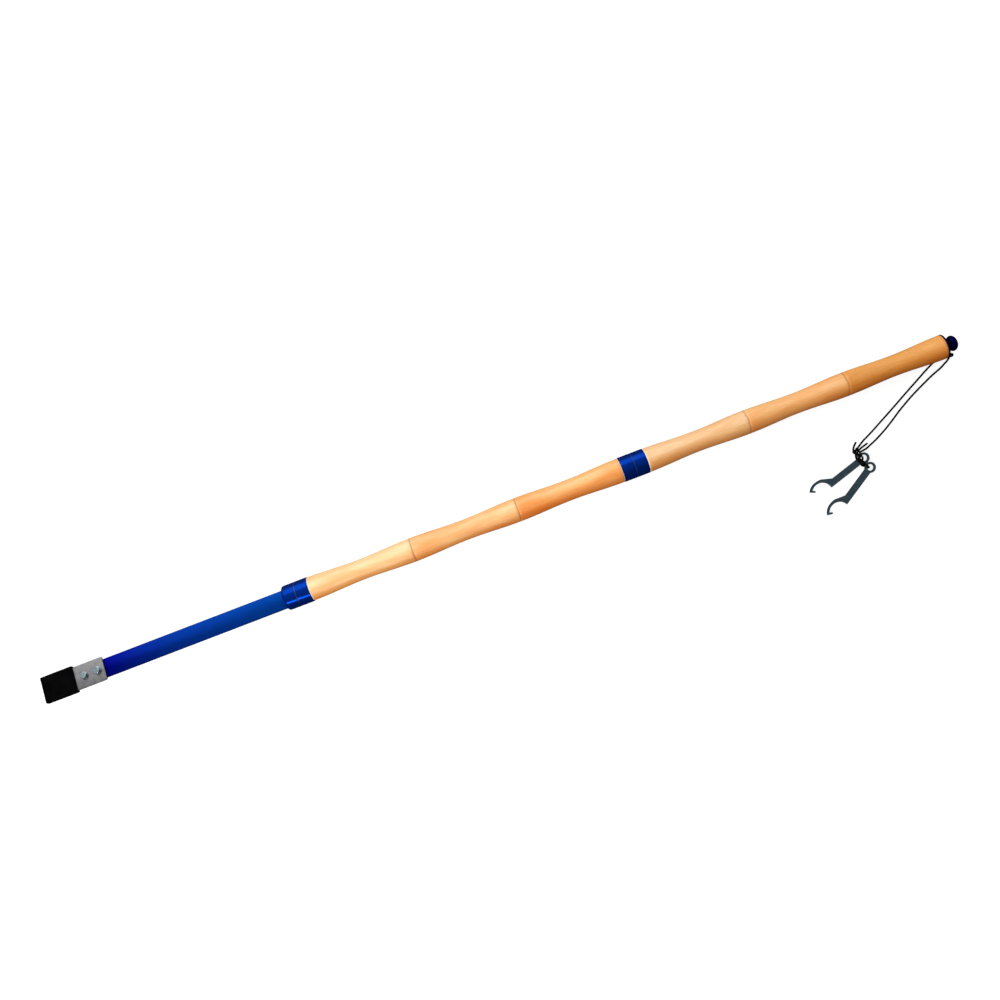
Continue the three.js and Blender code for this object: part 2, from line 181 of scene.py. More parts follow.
def noise(add, vector, detail=4.0, roughness=0.5, distortion=0.0):
    node = add(
        "ShaderNodeTexNoise",
        [("Vector", vector)],
        Scale=1.0,
        Detail=detail,
        Roughness=roughness,
        Distortion=distortion,
    )
    return node.outputs["Fac"]


def ramp(add, factor, *stops):
    """A colour ramp through (position, colour or grey) stops."""
    node = add("ShaderNodeValToRGB", [("Fac", factor)])
    elements = node.color_ramp.elements
    while len(elements) < len(stops):
        elements.new(0.5)
    for element, (position, colour) in zip(elements, stops):
        element.position = position
        element.color = (colour, colour, colour, 1) if isinstance(colour, (int, float)) else (*colour, 1)
    return node.outputs["Color"]


def blend(add, factor, first, second, mode="MIX"):
    """Mixes two colours. Each is a socket or a colour, and factor is a socket or a number."""
    node = add("ShaderNodeMix", data_type="RGBA", blend_type=mode)
    sockets = [node.inputs["Factor"], node.inputs[6], node.inputs[7]]
    for socket, value in zip(sockets, (factor, first, second)):
        if isinstance(value, bpy.types.NodeSocket):
            connect(value, socket)
        elif isinstance(value, (int, float)):
            socket.default_value = value
        else:
            socket.default_value = (*value, 1)
    return node.outputs[2]


def bump(add, height, shader, distance, strength=1.0):
    node = add("ShaderNodeBump", [("Height", height)], Distance=distance, Strength=strength)
    connect(node.outputs["Normal"], shader.inputs["Normal"])


def between(add, axis, start, end):
    """A factor that goes from 0 to 1 between two places along an axis of the row frame."""
    place = add("ShaderNodeTexCoord")
    split = add("ShaderNodeSeparateXYZ", [("Vector", place.outputs["Object"])])
    scale = add(
        "ShaderNodeMapRange", [("Value", split.outputs[axis])], **{"From Min": start, "From Max": end}
    )
    return scale.outputs["Result"]


def blue_enamel():
    """Deep blue metallic enamel, with painted reflection and painted shade: navy towards the blade's tip, a
    brighter blue towards the lower collar as a painted reflection of the softbox, and almost black at the
    butt as painted shade.
    """
    material, add, shader = new_material("blue_enamel", (0.0, 0.02, 0.23), roughness=0.22, metallic=0.6)
    # Painted reflection: along the bar the blue runs from navy by the tip plate to a brighter blue by the
    # lower collar, standing for the softbox's reflection.
    shade = ramp(
        add,
        between(add, "X", -0.665, -0.36),
        (0.0, (0.0003, 0.0004, 0.15)),
        (0.35, (0.0003, 0.017, 0.17)),
        (0.97, (0.0003, 0.033, 0.21)),
        (1.0, (0.0003, 0.024, 0.23)),
    )
    # Painted shade: past the butt washer the knob and flange are blended to almost black, standing for the
    # shade and dark reflection they get.
    butt = ramp(add, between(add, "X", 0.735, 0.743), (0.3, 0.0), (0.7, 1.0))
    shade = blend(add, butt, shade, (0.0003, 0.0006, 0.035))
    mottle = ramp(add, noise(add, scaled_place(add, (60, 60, 60)), detail=3), (0.3, 0.9), (0.7, 1.0))
    connect(blend(add, 1.0, shade, mottle, "MULTIPLY"), shader.inputs["Base Color"])
    scuffs = noise(add, scaled_place(add, (350, 1600, 1600)), detail=6, roughness=0.65)
    connect(ramp(add, scuffs, (0.35, 0.2), (0.72, 0.28)), shader.inputs["Roughness"])
    shader.inputs["Specular IOR Level"].default_value = 0.02
    bump(add, noise(add, scaled_place(add, (900, 900, 900)), detail=1), shader, 0.01 * MM, 0.2)
    return material


def beech(name, seed, light, dark, ends, collars):
    """Turned and oiled beech: straight fibre, soft growth rings, brown flecks, and painted shade that makes
    the wood darker and redder on the -Y side, away from the light.

    There is a fine dark line at each joint, and a pale rim where a grip meets a collar: a painted highlight
    on the bare eased edge, where light would catch it.
    """
    material, add, shader = new_material(name, light, roughness=0.42)
    shift = (seed * 1.37, seed * 0.61, seed * 0.29)
    fibre = noise(add, scaled_place(add, (22, 850, 850), shift), detail=6, roughness=0.62)
    cloud = noise(add, scaled_place(add, (11, 42, 42), shift), detail=3, roughness=0.5)
    rings = add(
        "ShaderNodeTexWave",
        [("Vector", scaled_place(add, (1.1, 46, 30), shift, (0.1, 0.03, 0.02 * seed)))],
        wave_type="BANDS",
        bands_direction="Z",
        wave_profile="SAW",
        Scale=1.0,
        Distortion=3.2,
        Detail=3.0,
        **{"Detail Scale": 0.7, "Detail Roughness": 0.45},
    )
    base = ramp(add, cloud, (0.3, dark), (0.62, light))
    ringed = blend(add, ramp(add, rings.outputs["Fac"], (0.0, 0.0), (1.0, 0.25)), base, dark)
    streaked = blend(add, 0.6, ringed, ramp(add, fibre, (0.3, (0.86, 0.72, 0.55)), (0.62, 1.0)), "MULTIPLY")
    fleck_place = scaled_place(add, (260, 1500, 1500), shift)
    flecks = ramp(add, noise(add, fleck_place, detail=1), (0.66, 1.0), (0.72, 0.66))
    flecked = blend(add, 0.5, streaked, flecks, "MULTIPLY")
    # Painted shade: the wood is darkened and reddened towards -Y, the side turned away from the light.
    across = ramp(
        add,
        between(add, "Y", -19 * MM, 19 * MM),
        (0.0, (0.86, 0.5, 0.22)),
        (0.35, (1.0, 0.8, 0.56)),
        (0.6, 1.0),
    )
    wood = blend(add, 1.0, flecked, across, "MULTIPLY")
    for station, inward, at_collar in zip(ends, (1, -1), collars):
        rim = between(add, "X", station, station + inward * 1.6 * MM)
        # At a collar the rim is a pale painted highlight of light caught by the eased edge; at other joints
        # it is the dark joint line.
        rim_painted_highlight_and_joint_tint, strength = ((0.98, 0.9, 0.8), 0.8) if at_collar else ((0.5, 0.26, 0.1), 0.35)
        wood = blend(add, ramp(add, rim, (0.4, strength), (0.8, 0.0)), wood, rim_painted_highlight_and_joint_tint)
    connect(wood, shader.inputs["Base Color"])
    connect(ramp(add, fibre, (0.3, 0.52), (0.7, 0.36)), shader.inputs["Roughness"])
    shader.inputs["Coat Weight"].default_value = 0.08
    shader.inputs["Coat Roughness"].default_value = 0.4
    bump(add, fibre, shader, 0.05 * MM, 0.4)
    return material


def zinc_plate():
    """Bright zinc plate: a mid grey with a fine rolled grain and faint cloudy patches."""
    material, add, shader = new_material("zinc_plate", (0.3, 0.3, 0.31), roughness=0.4, metallic=0.9)
    cloud = noise(add, scaled_place(add, (120, 120, 120)), detail=4)
    grain = noise(add, scaled_place(add, (250, 4200, 4200)), detail=3)
    tone = ramp(add, cloud, (0.3, (0.14, 0.14, 0.145)), (0.7, (0.21, 0.21, 0.215)))
    streaks = ramp(add, grain, (0.35, 0.6), (0.65, 1.0))
    connect(blend(add, 0.3, tone, streaks, "MULTIPLY"), shader.inputs["Base Color"])
    connect(ramp(add, grain, (0.3, 0.34), (0.7, 0.5)), shader.inputs["Roughness"])
    bump(add, grain, shader, 0.01 * MM, 0.4)
    return material


def zinc_fastener():
    """The bolts, nuts and washers: brighter plating with a blue-green passivated tinge."""
    material, add, shader = new_material("zinc_fastener", (0.5, 0.54, 0.56), roughness=0.25, metallic=1.0)
    cloud = noise(add, scaled_place(add, (500, 500, 500)), detail=3)
    connect(ramp(add, cloud, (0.3, (0.12, 0.2, 0.23)), (0.7, (0.34, 0.4, 0.42))), shader.inputs["Base Color"])
    connect(ramp(add, cloud, (0.3, 0.2), (0.7, 0.32)), shader.inputs["Roughness"])
    return material


def turned_steel():
    """Bare machined steel, with tool marks round the axis."""
    material, add, shader = new_material("turned_steel", (0.5, 0.5, 0.52), roughness=0.3, metallic=1.0)
    marks = noise(add, scaled_place(add, (5200, 40, 40)), detail=2)
    connect(ramp(add, marks, (0.3, (0.42, 0.42, 0.44)), (0.7, (0.6, 0.6, 0.61))), shader.inputs["Base Color"])
    connect(ramp(add, marks, (0.3, 0.24), (0.7, 0.4)), shader.inputs["Roughness"])
    bump(add, marks, shader, 0.01 * MM, 0.5)
    return material


def blued_steel():
    """Slate blue-grey heat-treated steel, a little rubbed."""
    material, add, shader = new_material("blued_steel", (0.09, 0.14, 0.17), roughness=0.42, metallic=0.75)
    cloud = noise(add, scaled_place(add, (160, 160, 160)), detail=5, roughness=0.6)
    rubs = noise(add, scaled_place(add, (900, 900, 900)), detail=5, roughness=0.7)
    tone = ramp(add, cloud, (0.28, (0.03, 0.06, 0.085)), (0.72, (0.07, 0.11, 0.135)))
    worn = blend(add, ramp(add, rubs, (0.62, 0.0), (0.8, 0.4)), tone, (0.2, 0.24, 0.26))
    connect(worn, shader.inputs["Base Color"])
    connect(ramp(add, rubs, (0.3, 0.36), (0.75, 0.52)), shader.inputs["Roughness"])
    bump(add, rubs, shader, 0.015 * MM, 0.4)
    return material


def black_rubber():
    material, add, shader = new_material("black_rubber", (0.001, 0.001, 0.001), roughness=0.75)
    grit = noise(add, scaled_place(add, (1400, 1400, 1400)), detail=4, roughness=0.6)
    dust = noise(add, scaled_place(add, (70, 70, 70)), detail=4)
    connect(ramp(add, dust, (0.35, 0.0005), (0.75, 0.002)), shader.inputs["Base Color"])
    connect(ramp(add, grit, (0.3, 0.66), (0.7, 0.86)), shader.inputs["Roughness"])
    shader.inputs["Specular IOR Level"].default_value = 0.02
    bump(add, grit, shader, 0.05 * MM, 0.5)
    return material


def blue_nylon():
    """The washers in the joints: a dark blue, so that a closed joint is only a faint line."""
    material, add, shader = new_material("blue_nylon", (0.001, 0.012, 0.12), roughness=0.4)
    grain = noise(add, scaled_place(add, (800, 800, 800)), detail=3)
    connect(ramp(add, grain, (0.3, 0.34), (0.7, 0.5)), shader.inputs["Roughness"])
    bump(add, grain, shader, 0.01 * MM, 0.4)
    return material


def braided_cord():
    """Black braid: the plaits are in the mesh, and the yarns in them are in the bump."""
    material, add, shader = new_material("braided_cord", (0.008, 0.008, 0.009), roughness=0.8)
    place = add("ShaderNodeUVMap")
    yarns = []
    for slant in (1, -1):
        turned = add(
            "ShaderNodeMapping",
            [("Vector", place.outputs["UV"])],
            Scale=(24, 14, 1),
            Rotation=(0, 0, slant * 0.6),
        )
        wave = add("ShaderNodeTexWave", [("Vector", turned.outputs["Vector"])], Scale=0.5, Distortion=0.6)
        yarns.append(wave.outputs["Fac"])
    weave = add("ShaderNodeMath", [(0, yarns[0]), (1, yarns[1])], operation="MULTIPLY").outputs["Value"]
    connect(ramp(add, weave, (0.0, 0.001), (1.0, 0.006)), shader.inputs["Base Color"])
    shader.inputs["Specular IOR Level"].default_value = 0.08
    bump(add, weave, shader, 0.1 * MM, 0.6)
    return material


# ---------------------------------------------------------------- mesh helpers


def new_piece(name, vertices, faces, material, body, slot, replaces=(), sharp=40):
    """A mesh object in the row frame that rides on a CAD body."""
    mesh = bpy.data.meshes.new(name)
    mesh.from_pydata([tuple(v) for v in vertices], [], faces)
    mesh.validate()
    finish_mesh(mesh, sharp)
    mesh.materials.append(material)
    piece = bpy.data.objects.new(name, mesh)
    bpy.context.scene.collection.objects.link(piece)
    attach(piece, body)
    if replaces:
        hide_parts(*replaces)
    return piece


def finish_mesh(mesh, sharp=40):
    """Faces out, smooth, and sharp where the surface turns by more than the stated angle."""
    shape = bmesh.new()
    shape.from_mesh(mesh)
    bmesh.ops.remove_doubles(shape, verts=shape.verts, dist=1e-7)
    bmesh.ops.recalc_face_normals(shape, faces=shape.faces)
    shape.to_mesh(mesh)
    shape.free()
    mesh.shade_smooth()
    mesh.set_sharp_from_angle(angle=math.radians(sharp))


def rounded_corners(points, radius, steps=4):
    """The line through (a, b) points with each inner corner rounded off."""
    line = [points[0]]
    for before, corner, after in zip(points, points[1:], points[2:]):
        corner_point = Vector(corner)
        arms = [Vector(before) - corner_point, Vector(after) - corner_point]
        if min(arm.length for arm in arms) < 1e-9:
            continue
        cut = [min(radius, arm.length * 0.45) for arm in arms]
        start = corner_point + arms[0].normalized() * cut[0]
        end = corner_point + arms[1].normalized() * cut[1]
        for i in range(steps + 1):
            share = i / steps
            a = start.lerp(corner_point, share)
            b = corner_point.lerp(end, share)
            line.append(tuple(a.lerp(b, share)))
    line.append(points[-1])
    return line


def turned_mesh(profile, segments=ROUND, axis_z=AXIS_Z):
    """Vertices and faces of a closed (x, radius) profile turned about the pole's axis."""
    vertices, faces, rows = [], [], []
    for x, radius in profile:
        if radius < 1e-9:
            rows.append([len(vertices)] * segments)
            vertices.append((x, 0, axis_z))
            continue
        rows.append(list(range(len(vertices), len(vertices) + segments)))
        for i in range(segments):
            angle = 2 * math.pi * i / segments
            vertices.append((x, radius * math.cos(angle), axis_z + radius * math.sin(angle)))
    closed = profile[0][1] > 1e-9 or profile[-1][1] > 1e-9
    pairs = list(zip(rows, rows[1:])) + ([(rows[-1], rows[0])] if closed else [])
    for low, high in pairs:
        for i in range(segments):
            j = (i + 1) % segments
            corners = [low[i], low[j], high[j], high[i]]
            corners = [v for k, v in enumerate(corners) if v not in corners[:k]]
            if len(corners) > 2:
                faces.append(corners)
    return vertices, faces


def turned_piece(name, profile, material, body, slot, replaces=(), rounding=0.0, sharp=40):
    """A turned solid. The profile is an open outline from bore or axis to bore or axis."""
    line = rounded_corners(profile, rounding) if rounding else profile
    vertices, faces = turned_mesh(line)
    return new_piece(name, vertices, faces, material, body, slot, replaces, sharp)


def cut_out(piece, cutter_vertices, cutter_faces):
    """Cuts a closed solid out of a piece, and removes the cutter."""
    mesh = bpy.data.meshes.new("cutter")
    mesh.from_pydata([tuple(v) for v in cutter_vertices], [], cutter_faces)
    finish_mesh(mesh)
    cutter = bpy.data.objects.new("cutter", mesh)
    bpy.context.scene.collection.objects.link(cutter)
    modifier = piece.modifiers.new("cut", "BOOLEAN")
    modifier.operation = "DIFFERENCE"
    modifier.solver = "EXACT"
    modifier.object = cutter
    apply_modifiers(piece)
    bpy.data.objects.remove(cutter)


def apply_modifiers(piece):
    """Puts the piece's modifiers into its mesh."""
    depsgraph = bpy.context.evaluated_depsgraph_get()
    made = bpy.data.meshes.new_from_object(piece.evaluated_get(depsgraph))
    piece.modifiers.clear()
    old = piece.data
    piece.data = made
    made.name = old.name
    bpy.data.meshes.remove(old)


def box_mesh(low, high):
    vertices = [(x, y, z) for x in (low[0], high[0]) for y in (low[1], high[1]) for z in (low[2], high[2])]
    faces = [(0, 1, 3, 2), (4, 6, 7, 5), (0, 4, 5, 1), (2, 3, 7, 6), (0, 2, 6, 4), (1, 5, 7, 3)]
    return vertices, faces


def placed(vertices, matrix):
    return [matrix @ Vector(v) for v in vertices]


BLADE_PLACE = Matrix.Translation((0, 0, AXIS_Z)) @ Matrix.Rotation(BLADE_ROLL, 4, "X")


def rounded_slab(low, high, corner, edge, steps=5):
    """A flat plate with rounded corners in plan and a rounded edge all round, as vertices and faces."""
    centre_x, centre_y = (low[0] + high[0]) / 2, (low[1] + high[1]) / 2
    half_x, half_y = (high[0] - low[0]) / 2, (high[1] - low[1]) / 2
    rings = []
    edge_turns = [(math.pi / 2) * i / 3 for i in range(4)]
    levels = [(edge * (1 - math.sin(a)), low[2] + edge * (1 - math.cos(a))) for a in edge_turns]
    levels += [(inset, high[2] + low[2] - z) for inset, z in reversed(levels)]
    vertices, faces = [], []
    for inset, z in levels:
        ring = []
        radius = corner - inset
        for quarter, (sx, sy) in enumerate([(1, 1), (-1, 1), (-1, -1), (1, -1)]):
            for i in range(steps + 1):
                angle = math.pi / 2 * (quarter + i / steps)
                x = centre_x + sx * (half_x - corner) + radius * math.cos(angle)
                y = centre_y + sy * (half_y - corner) + radius * math.sin(angle)
                ring.append(len(vertices))
                vertices.append((x, y, z))
        rings.append(ring)
    count = len(rings[0])
    for low_ring, high_ring in zip(rings, rings[1:]):
        for i in range(count):
            j = (i + 1) % count
            faces.append((low_ring[i], low_ring[j], high_ring[j], high_ring[i]))
    faces.append(tuple(reversed(rings[0])))
    faces.append(tuple(rings[-1]))
    return vertices, faces


def threaded_rows(x0, x1, radius, depth, pitch):
    """Rows of radii for a helical thread between two stations, fading out at both ends."""
    steps = max(2, int((x1 - x0) / (pitch / 8)))
    rows = []
    for k in range(steps + 1):
        x = x0 + (x1 - x0) * k / steps
        fade = min(1, (x - x0) / pitch + 0.15, (x1 - x) / pitch + 0.15)
        row = []
        for i in range(THREAD_SIDES):
            phase = ((x / pitch) - i / THREAD_SIDES) % 1
            height = min(1.0, 2.4 * min(phase, 1 - phase))  # 0 in the groove and 1 on the crest
            row.append(radius - depth * (1 - height) * fade)
        rows.append((x, row))
    return rows


def rows_mesh(rows):
    """Vertices and faces of a solid of (x, radii) rows about the X axis, with flat ends."""
    segments = THREAD_SIDES
    vertices = []
    for x, radii in rows:
        for i, radius in enumerate(radii):
            angle = 2 * math.pi * i / segments
            vertices.append((x, radius * math.cos(angle), radius * math.sin(angle)))
    faces = [tuple(range(segments))]
    for k in range(len(rows) - 1):
        for i in range(segments):
            j = (i + 1) % segments
            a, b = k * segments, (k + 1) * segments
            faces.append((a + i, a + j, b + j, b + i))
    last = (len(rows) - 1) * segments
    faces.append(tuple(range(last + segments - 1, last - 1, -1)))
    return vertices, faces


# ---------------------------------------------------------------- the blade


def slab_piece(name, node, low, high, corner, edge, material, slot):
    """A rounded plate on the blade, which stands for a CAD node."""
    vertices, faces = rounded_slab(low, high, corner, edge)
    return new_piece(name, placed(vertices, BLADE_PLACE), faces, material, "blade", slot, [node])


def make_blade(paint, zinc, rubber):
    boot_front, boot_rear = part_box("rubber_boot")[0].x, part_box("rubber_boot")[1].x
    plate_front, plate_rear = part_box("tip_plate")[0].x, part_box("tip_plate")[1].x
    bar_front, bar_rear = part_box("blade_bar")[0].x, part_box("blade_bar")[1].x
    plate_half, bar_top, bar_thickness = 1.5 * MM, -1.6 * MM, 5 * MM
    slab_piece(
        "blade_flat_bar", "blade_bar", (bar_front, -15 * MM, bar_top - bar_thickness),
        (bar_rear, 15 * MM, bar_top), corner=1.2 * MM, edge=0.7 * MM, material=paint, slot="blue_paint",
    )
    slab_piece(
        "steel_tip_plate", "tip_plate", (plate_front, -19 * MM, -plate_half),
        (plate_rear, 19 * MM, plate_half), corner=2.5 * MM, edge=0.5 * MM, material=zinc,
        slot="zinc_plated_steel",
    )
    make_boot(boot_front, boot_rear, rubber)


def make_boot(front, rear, rubber):
    """The moulded rubber boot: a rounded slab with a pocket for the steel plate, open at the rear."""
    half_width, half_thick, corner, edge = 21.5 * MM, 4.5 * MM, 1.8 * MM, 1.1 * MM
    pocket_front, pocket_half_width, pocket_half_thick = front + 8.7 * MM, 19.1 * MM, 1.6 * MM
    past_mouth = 5 * MM
    boot = slab_piece(
        "moulded_rubber_boot", "rubber_boot", (front, -half_width, -half_thick),
        (rear, half_width, half_thick), corner, edge, rubber, "black_rubber",
    )
    vertices, faces = box_mesh(
        (pocket_front, -pocket_half_width, -pocket_half_thick),
        (rear + past_mouth, pocket_half_width, pocket_half_thick),
    )
    cut_out(boot, placed(vertices, BLADE_PLACE), faces)
    finish_mesh(boot.data)


def hex_radius(angle, across_flats):
    """Distance from the middle of a hexagon to its side, in a direction."""
    from_flat = (angle % (math.pi / 3)) - math.pi / 6
    return across_flats / 2 / math.cos(from_flat)


def hexagon_mesh(across_flats, height, bore=0.0, segments=72):
    """A hexagon head or nut standing on z = 0, its upper corners chamfered at 30 degrees."""
    crown = across_flats * 0.475
    chamfer = math.tan(math.radians(30))
    angles = [2 * math.pi * i / segments for i in range(segments)]
    sides = [hex_radius(angle, across_flats) for angle in angles]
    levels = [
        [(side, 0.0) for side in sides],
        [(side, height - (side - crown) * chamfer) for side in sides],
        [(crown, height)] * segments,
    ]
    if bore:
        levels += [[(bore, height)] * segments, [(bore, 0.0)] * segments]
    vertices, faces = [], []
    for level in levels:
        for angle, (radius, z) in zip(angles, level):
            vertices.append((radius * math.cos(angle), radius * math.sin(angle), z))
    rings = [range(k * segments, (k + 1) * segments) for k in range(len(levels))]
    pairs = list(zip(rings, rings[1:])) + ([(rings[-1], rings[0])] if bore else [])
    for low, high in pairs:
        for i in range(segments):
            j = (i + 1) % segments
            faces.append((low[i], low[j], high[j], high[i]))
    if not bore:
        faces.append(tuple(reversed(rings[0])))
        faces.append(tuple(rings[-1]))
    return vertices, faces


def joined(*meshes):
    """Several (vertices, faces) solids as one."""
    vertices, faces = [], []
    for more_vertices, more_faces in meshes:
        start = len(vertices)
        vertices += list(more_vertices)
        faces += [tuple(start + i for i in face) for face in more_faces]
    return vertices, faces


def make_tip_fasteners(material):
    """M6 bolts with chamfered heads, washers, nuts and a few threads showing below."""
    across_flats, head, nut, washer = 10 * MM, 4 * MM, 5 * MM, 1.2 * MM
    head_seat, nut_seat = 3.1 * MM, -8.2 * MM
    washer_bore, washer_radius = 3.2 * MM, 6 * MM
    upright = Matrix.Rotation(-math.pi / 2, 4, "Y")
    for i in (1, 2):
        low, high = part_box(f"tip_bolt_{i}")
        station = (low.x + high.x) / 2
        turn = Matrix.Rotation(math.radians(17 + 26 * i), 4, "Z")
        place = BLADE_PLACE @ Matrix.Translation((station, 0, 0))
        head_mesh = hexagon_mesh(across_flats, head)
        shank_bottom = nut_seat - nut - 1.2 * MM
        rows = threaded_rows(shank_bottom, head_seat, 3 * MM, 0.45 * MM, 1 * MM)
        rows.insert(0, (shank_bottom - 0.5 * MM, [2.3 * MM] * THREAD_SIDES))
        shank, shank_faces = rows_mesh(rows)
        head_vertices = placed(head_mesh[0], place @ Matrix.Translation((0, 0, head_seat)) @ turn)
        bolt = joined((head_vertices, head_mesh[1]), (placed(shank, place @ upright), shank_faces))
        new_piece(
            f"hex_bolt_{i}", *bolt, material, "blade", "zinc_plated_steel", [f"tip_bolt_{i}"], 25
        )
        nut_vertices, nut_faces = hexagon_mesh(across_flats, nut, 3.1 * MM)
        nut_place = place @ Matrix.Translation((0, 0, nut_seat)) @ Matrix.Rotation(math.pi, 4, "X") @ turn
        new_piece(
            f"hex_nut_{i}", placed(nut_vertices, nut_place), nut_faces, material, "blade",
            "zinc_plated_steel", [f"tip_nut_{i}"], 25,
        )
        for name, node, bottom in (
            ("head", "tip_head_washer", 1.7 * MM),
            ("nut", "tip_nut_washer", -8.0 * MM),
        ):
            top = bottom + washer
            outline = [
                (bottom, washer_bore), (bottom, washer_radius), (top, washer_radius), (top, washer_bore),
            ]
            ring, ring_faces = turned_mesh(rounded_corners(outline, 0.25 * MM, 3), 64, 0.0)
            new_piece(
                f"flat_washer_{name}_{i}", placed(ring, place @ upright), ring_faces, material, "blade",
                "zinc_plated_steel", [f"{node}_{i}"], 30,
            )


# ---------------------------------------------------------------- collars, studs and washers

COLLAR_RADIUS = 20 * MM
STUD_RADIUS = 8 * MM
STUD_CHAMFER, THREAD_DEPTH = 1.3 * MM, 1.0 * MM
SOCKET_RADIUS = 8.3 * MM
NOTCH_ANGLES = (-60, -120)
SEAM_ROUND, END_ROUND = 0.3 * MM, 0.7 * MM  # a collar half's edge at the seam, and at its other end
SEAM_WASHER_RADIUS, BUTT_WASHER_RADIUS = 19.7 * MM, 9.9 * MM


def cut_notches(piece, x0, x1):
    """Two slots on the underside for a hook spanner's nib."""
    middle, half_length, half_width, depth = (x0 + x1) / 2, 2.75 * MM, 3.5 * MM, 3.5 * MM
    low = (middle - half_length, COLLAR_RADIUS - depth, -half_width)
    high = (middle + half_length, COLLAR_RADIUS + 4 * MM, half_width)
    for angle in NOTCH_ANGLES:
        vertices, faces = box_mesh(low, high)
        place = Matrix.Translation((0, 0, AXIS_Z)) @ Matrix.Rotation(math.radians(angle), 4, "X")
        cut_out(piece, placed(vertices, place), faces)
    finish_mesh(piece.data, 28)


def collar_half(name, node, body, paint, bore, front_round, rear_round):
    """One half of a collar. Each end has its own rounding."""
    low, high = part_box(node)
    x0, x1 = low.x, high.x
    front = rounded_corners([(x0, bore), (x0, COLLAR_RADIUS), ((x0 + x1) / 2, COLLAR_RADIUS)], front_round, 5)
    rear = rounded_corners([((x0 + x1) / 2, COLLAR_RADIUS), (x1, COLLAR_RADIUS), (x1, bore)], rear_round, 5)
    ring = turned_piece(name, front + rear[1:], paint, body, "blue_paint", [node], sharp=28)
    cut_notches(ring, x0, x1)
    return ring


def make_blade_ring(paint):
    """The blade's socket: closed in front round the bar, open behind for the stud."""
    low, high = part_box("blade_ring")
    x0, x1 = low.x, high.x
    socket = x1 - 11 * MM
    outline = [
        (x0, 0), (x0, COLLAR_RADIUS), (x1, COLLAR_RADIUS),
        (x1, SOCKET_RADIUS), (socket, SOCKET_RADIUS), (socket, 0),
    ]
    line = rounded_corners(outline[:3], 5.5 * MM, 8) + rounded_corners(outline[1:4], 0.3 * MM)[1:]
    line = [p for p in line if p != outline[2] or p == line[-1]]
    ring = turned_piece(
        "blade_socket_ring", line + outline[4:], paint, "blade", "blue_paint", ["blade_ring"], sharp=28
    )
    slot_half_width, slot_bottom, slot_top = 15.2 * MM, -6.8 * MM, -1.4 * MM
    slot_front, slot_rear = x0 - 5 * MM, x0 + 6.4 * MM
    vertices, faces = box_mesh(
        (slot_front, -slot_half_width, slot_bottom), (slot_rear, slot_half_width, slot_top)
    )
    cut_out(ring, placed(vertices, BLADE_PLACE), faces)
    cut_notches(ring, x0, x1)


def make_stud(name, node, body, steel):
    """A threaded stud. Its thread shows when the joint is unscrewed."""
    low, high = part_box(node)
    thread_end = low.x + 13 * MM
    rows = [(low.x, [STUD_RADIUS - STUD_CHAMFER] * THREAD_SIDES)]
    rows += threaded_rows(low.x + 0.6 * MM, thread_end, STUD_RADIUS, THREAD_DEPTH, THREAD_PITCH)
    rows += [(x, [STUD_RADIUS] * THREAD_SIDES) for x in (thread_end + 0.3 * MM, high.x)]
    vertices, faces = rows_mesh(rows)
    place = Matrix.Translation((0, 0, AXIS_Z))
    new_piece(name, placed(vertices, place), faces, steel, body, "bare_steel", [node], 30)


def make_washer(name, node, nylon, outer):
    """A joint's washer, which is a body of its own. It fills the clearance on both sides."""
    low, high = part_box(node)
    x0, x1 = low.x - 0.15 * MM, high.x + 0.15 * MM
    outline = [(x0, SOCKET_RADIUS), (x0, outer), (x1, outer), (x1, SOCKET_RADIUS)]
    turned_piece(name, outline, nylon, node, "blue_nylon", [node], 0.12 * MM)


def make_collars(paint, steel, nylon):
    stud_bore = STUD_RADIUS + 0.3 * MM
    make_blade_ring(paint)
    halves = (
        ("lower_collar_rear", "front_section", "front_ring", stud_bore, SEAM_ROUND, END_ROUND),
        ("middle_collar_front", "front_section", "rear_ring", SOCKET_RADIUS, END_ROUND, SEAM_ROUND),
        ("middle_collar_rear", "rear_section", "front_ring", stud_bore, SEAM_ROUND, END_ROUND),
    )
    for name, section, ring, bore, front_round, rear_round in halves:
        collar_half(name, f"{section}_{ring}", section, paint, bore, front_round, rear_round)
    for section in ("front_section", "rear_section"):
        make_stud(f"{section}_threaded_stud", f"{section}_stud", section, steel)
    make_washer("lower_seam_washer", "blade_washer", nylon, SEAM_WASHER_RADIUS)
    make_washer("middle_seam_washer", "middle_washer", nylon, SEAM_WASHER_RADIUS)
    make_washer("butt_seam_washer", "butt_washer", nylon, BUTT_WASHER_RADIUS)


# ---------------------------------------------------------------- the turned grips

WAIST_DEPTH = 2.75 * MM
GRIP_BORE = 11.4 * MM
TUBE_INNER, TUBE_OUTER = 8.5 * MM, 11 * MM
# Each grip: the radii at its two ends, its light wood and its dark wood. The front ones are paler, partly the
# wood's own tone and partly painted light that falls off towards the butt.
GRIPS = {
    "front_section": [
        (19.1, 19.1, (0.95, 0.7, 0.4), (0.93, 0.5, 0.19)),
        (19.1, 19.1, (0.95, 0.66, 0.34), (0.92, 0.42, 0.14)),
        (19.1, 19.5, (0.95, 0.52, 0.2), (0.9, 0.32, 0.06)),
    ],
    "rear_section": [
        (19.5, 19.2, (0.95, 0.66, 0.38), (0.86, 0.46, 0.19)),
        (19.2, 19.2, (0.95, 0.56, 0.25), (0.88, 0.4, 0.12)),
        (19.2, 19.5, (0.9, 0.42, 0.11), (0.74, 0.3, 0.05)),
    ],
}


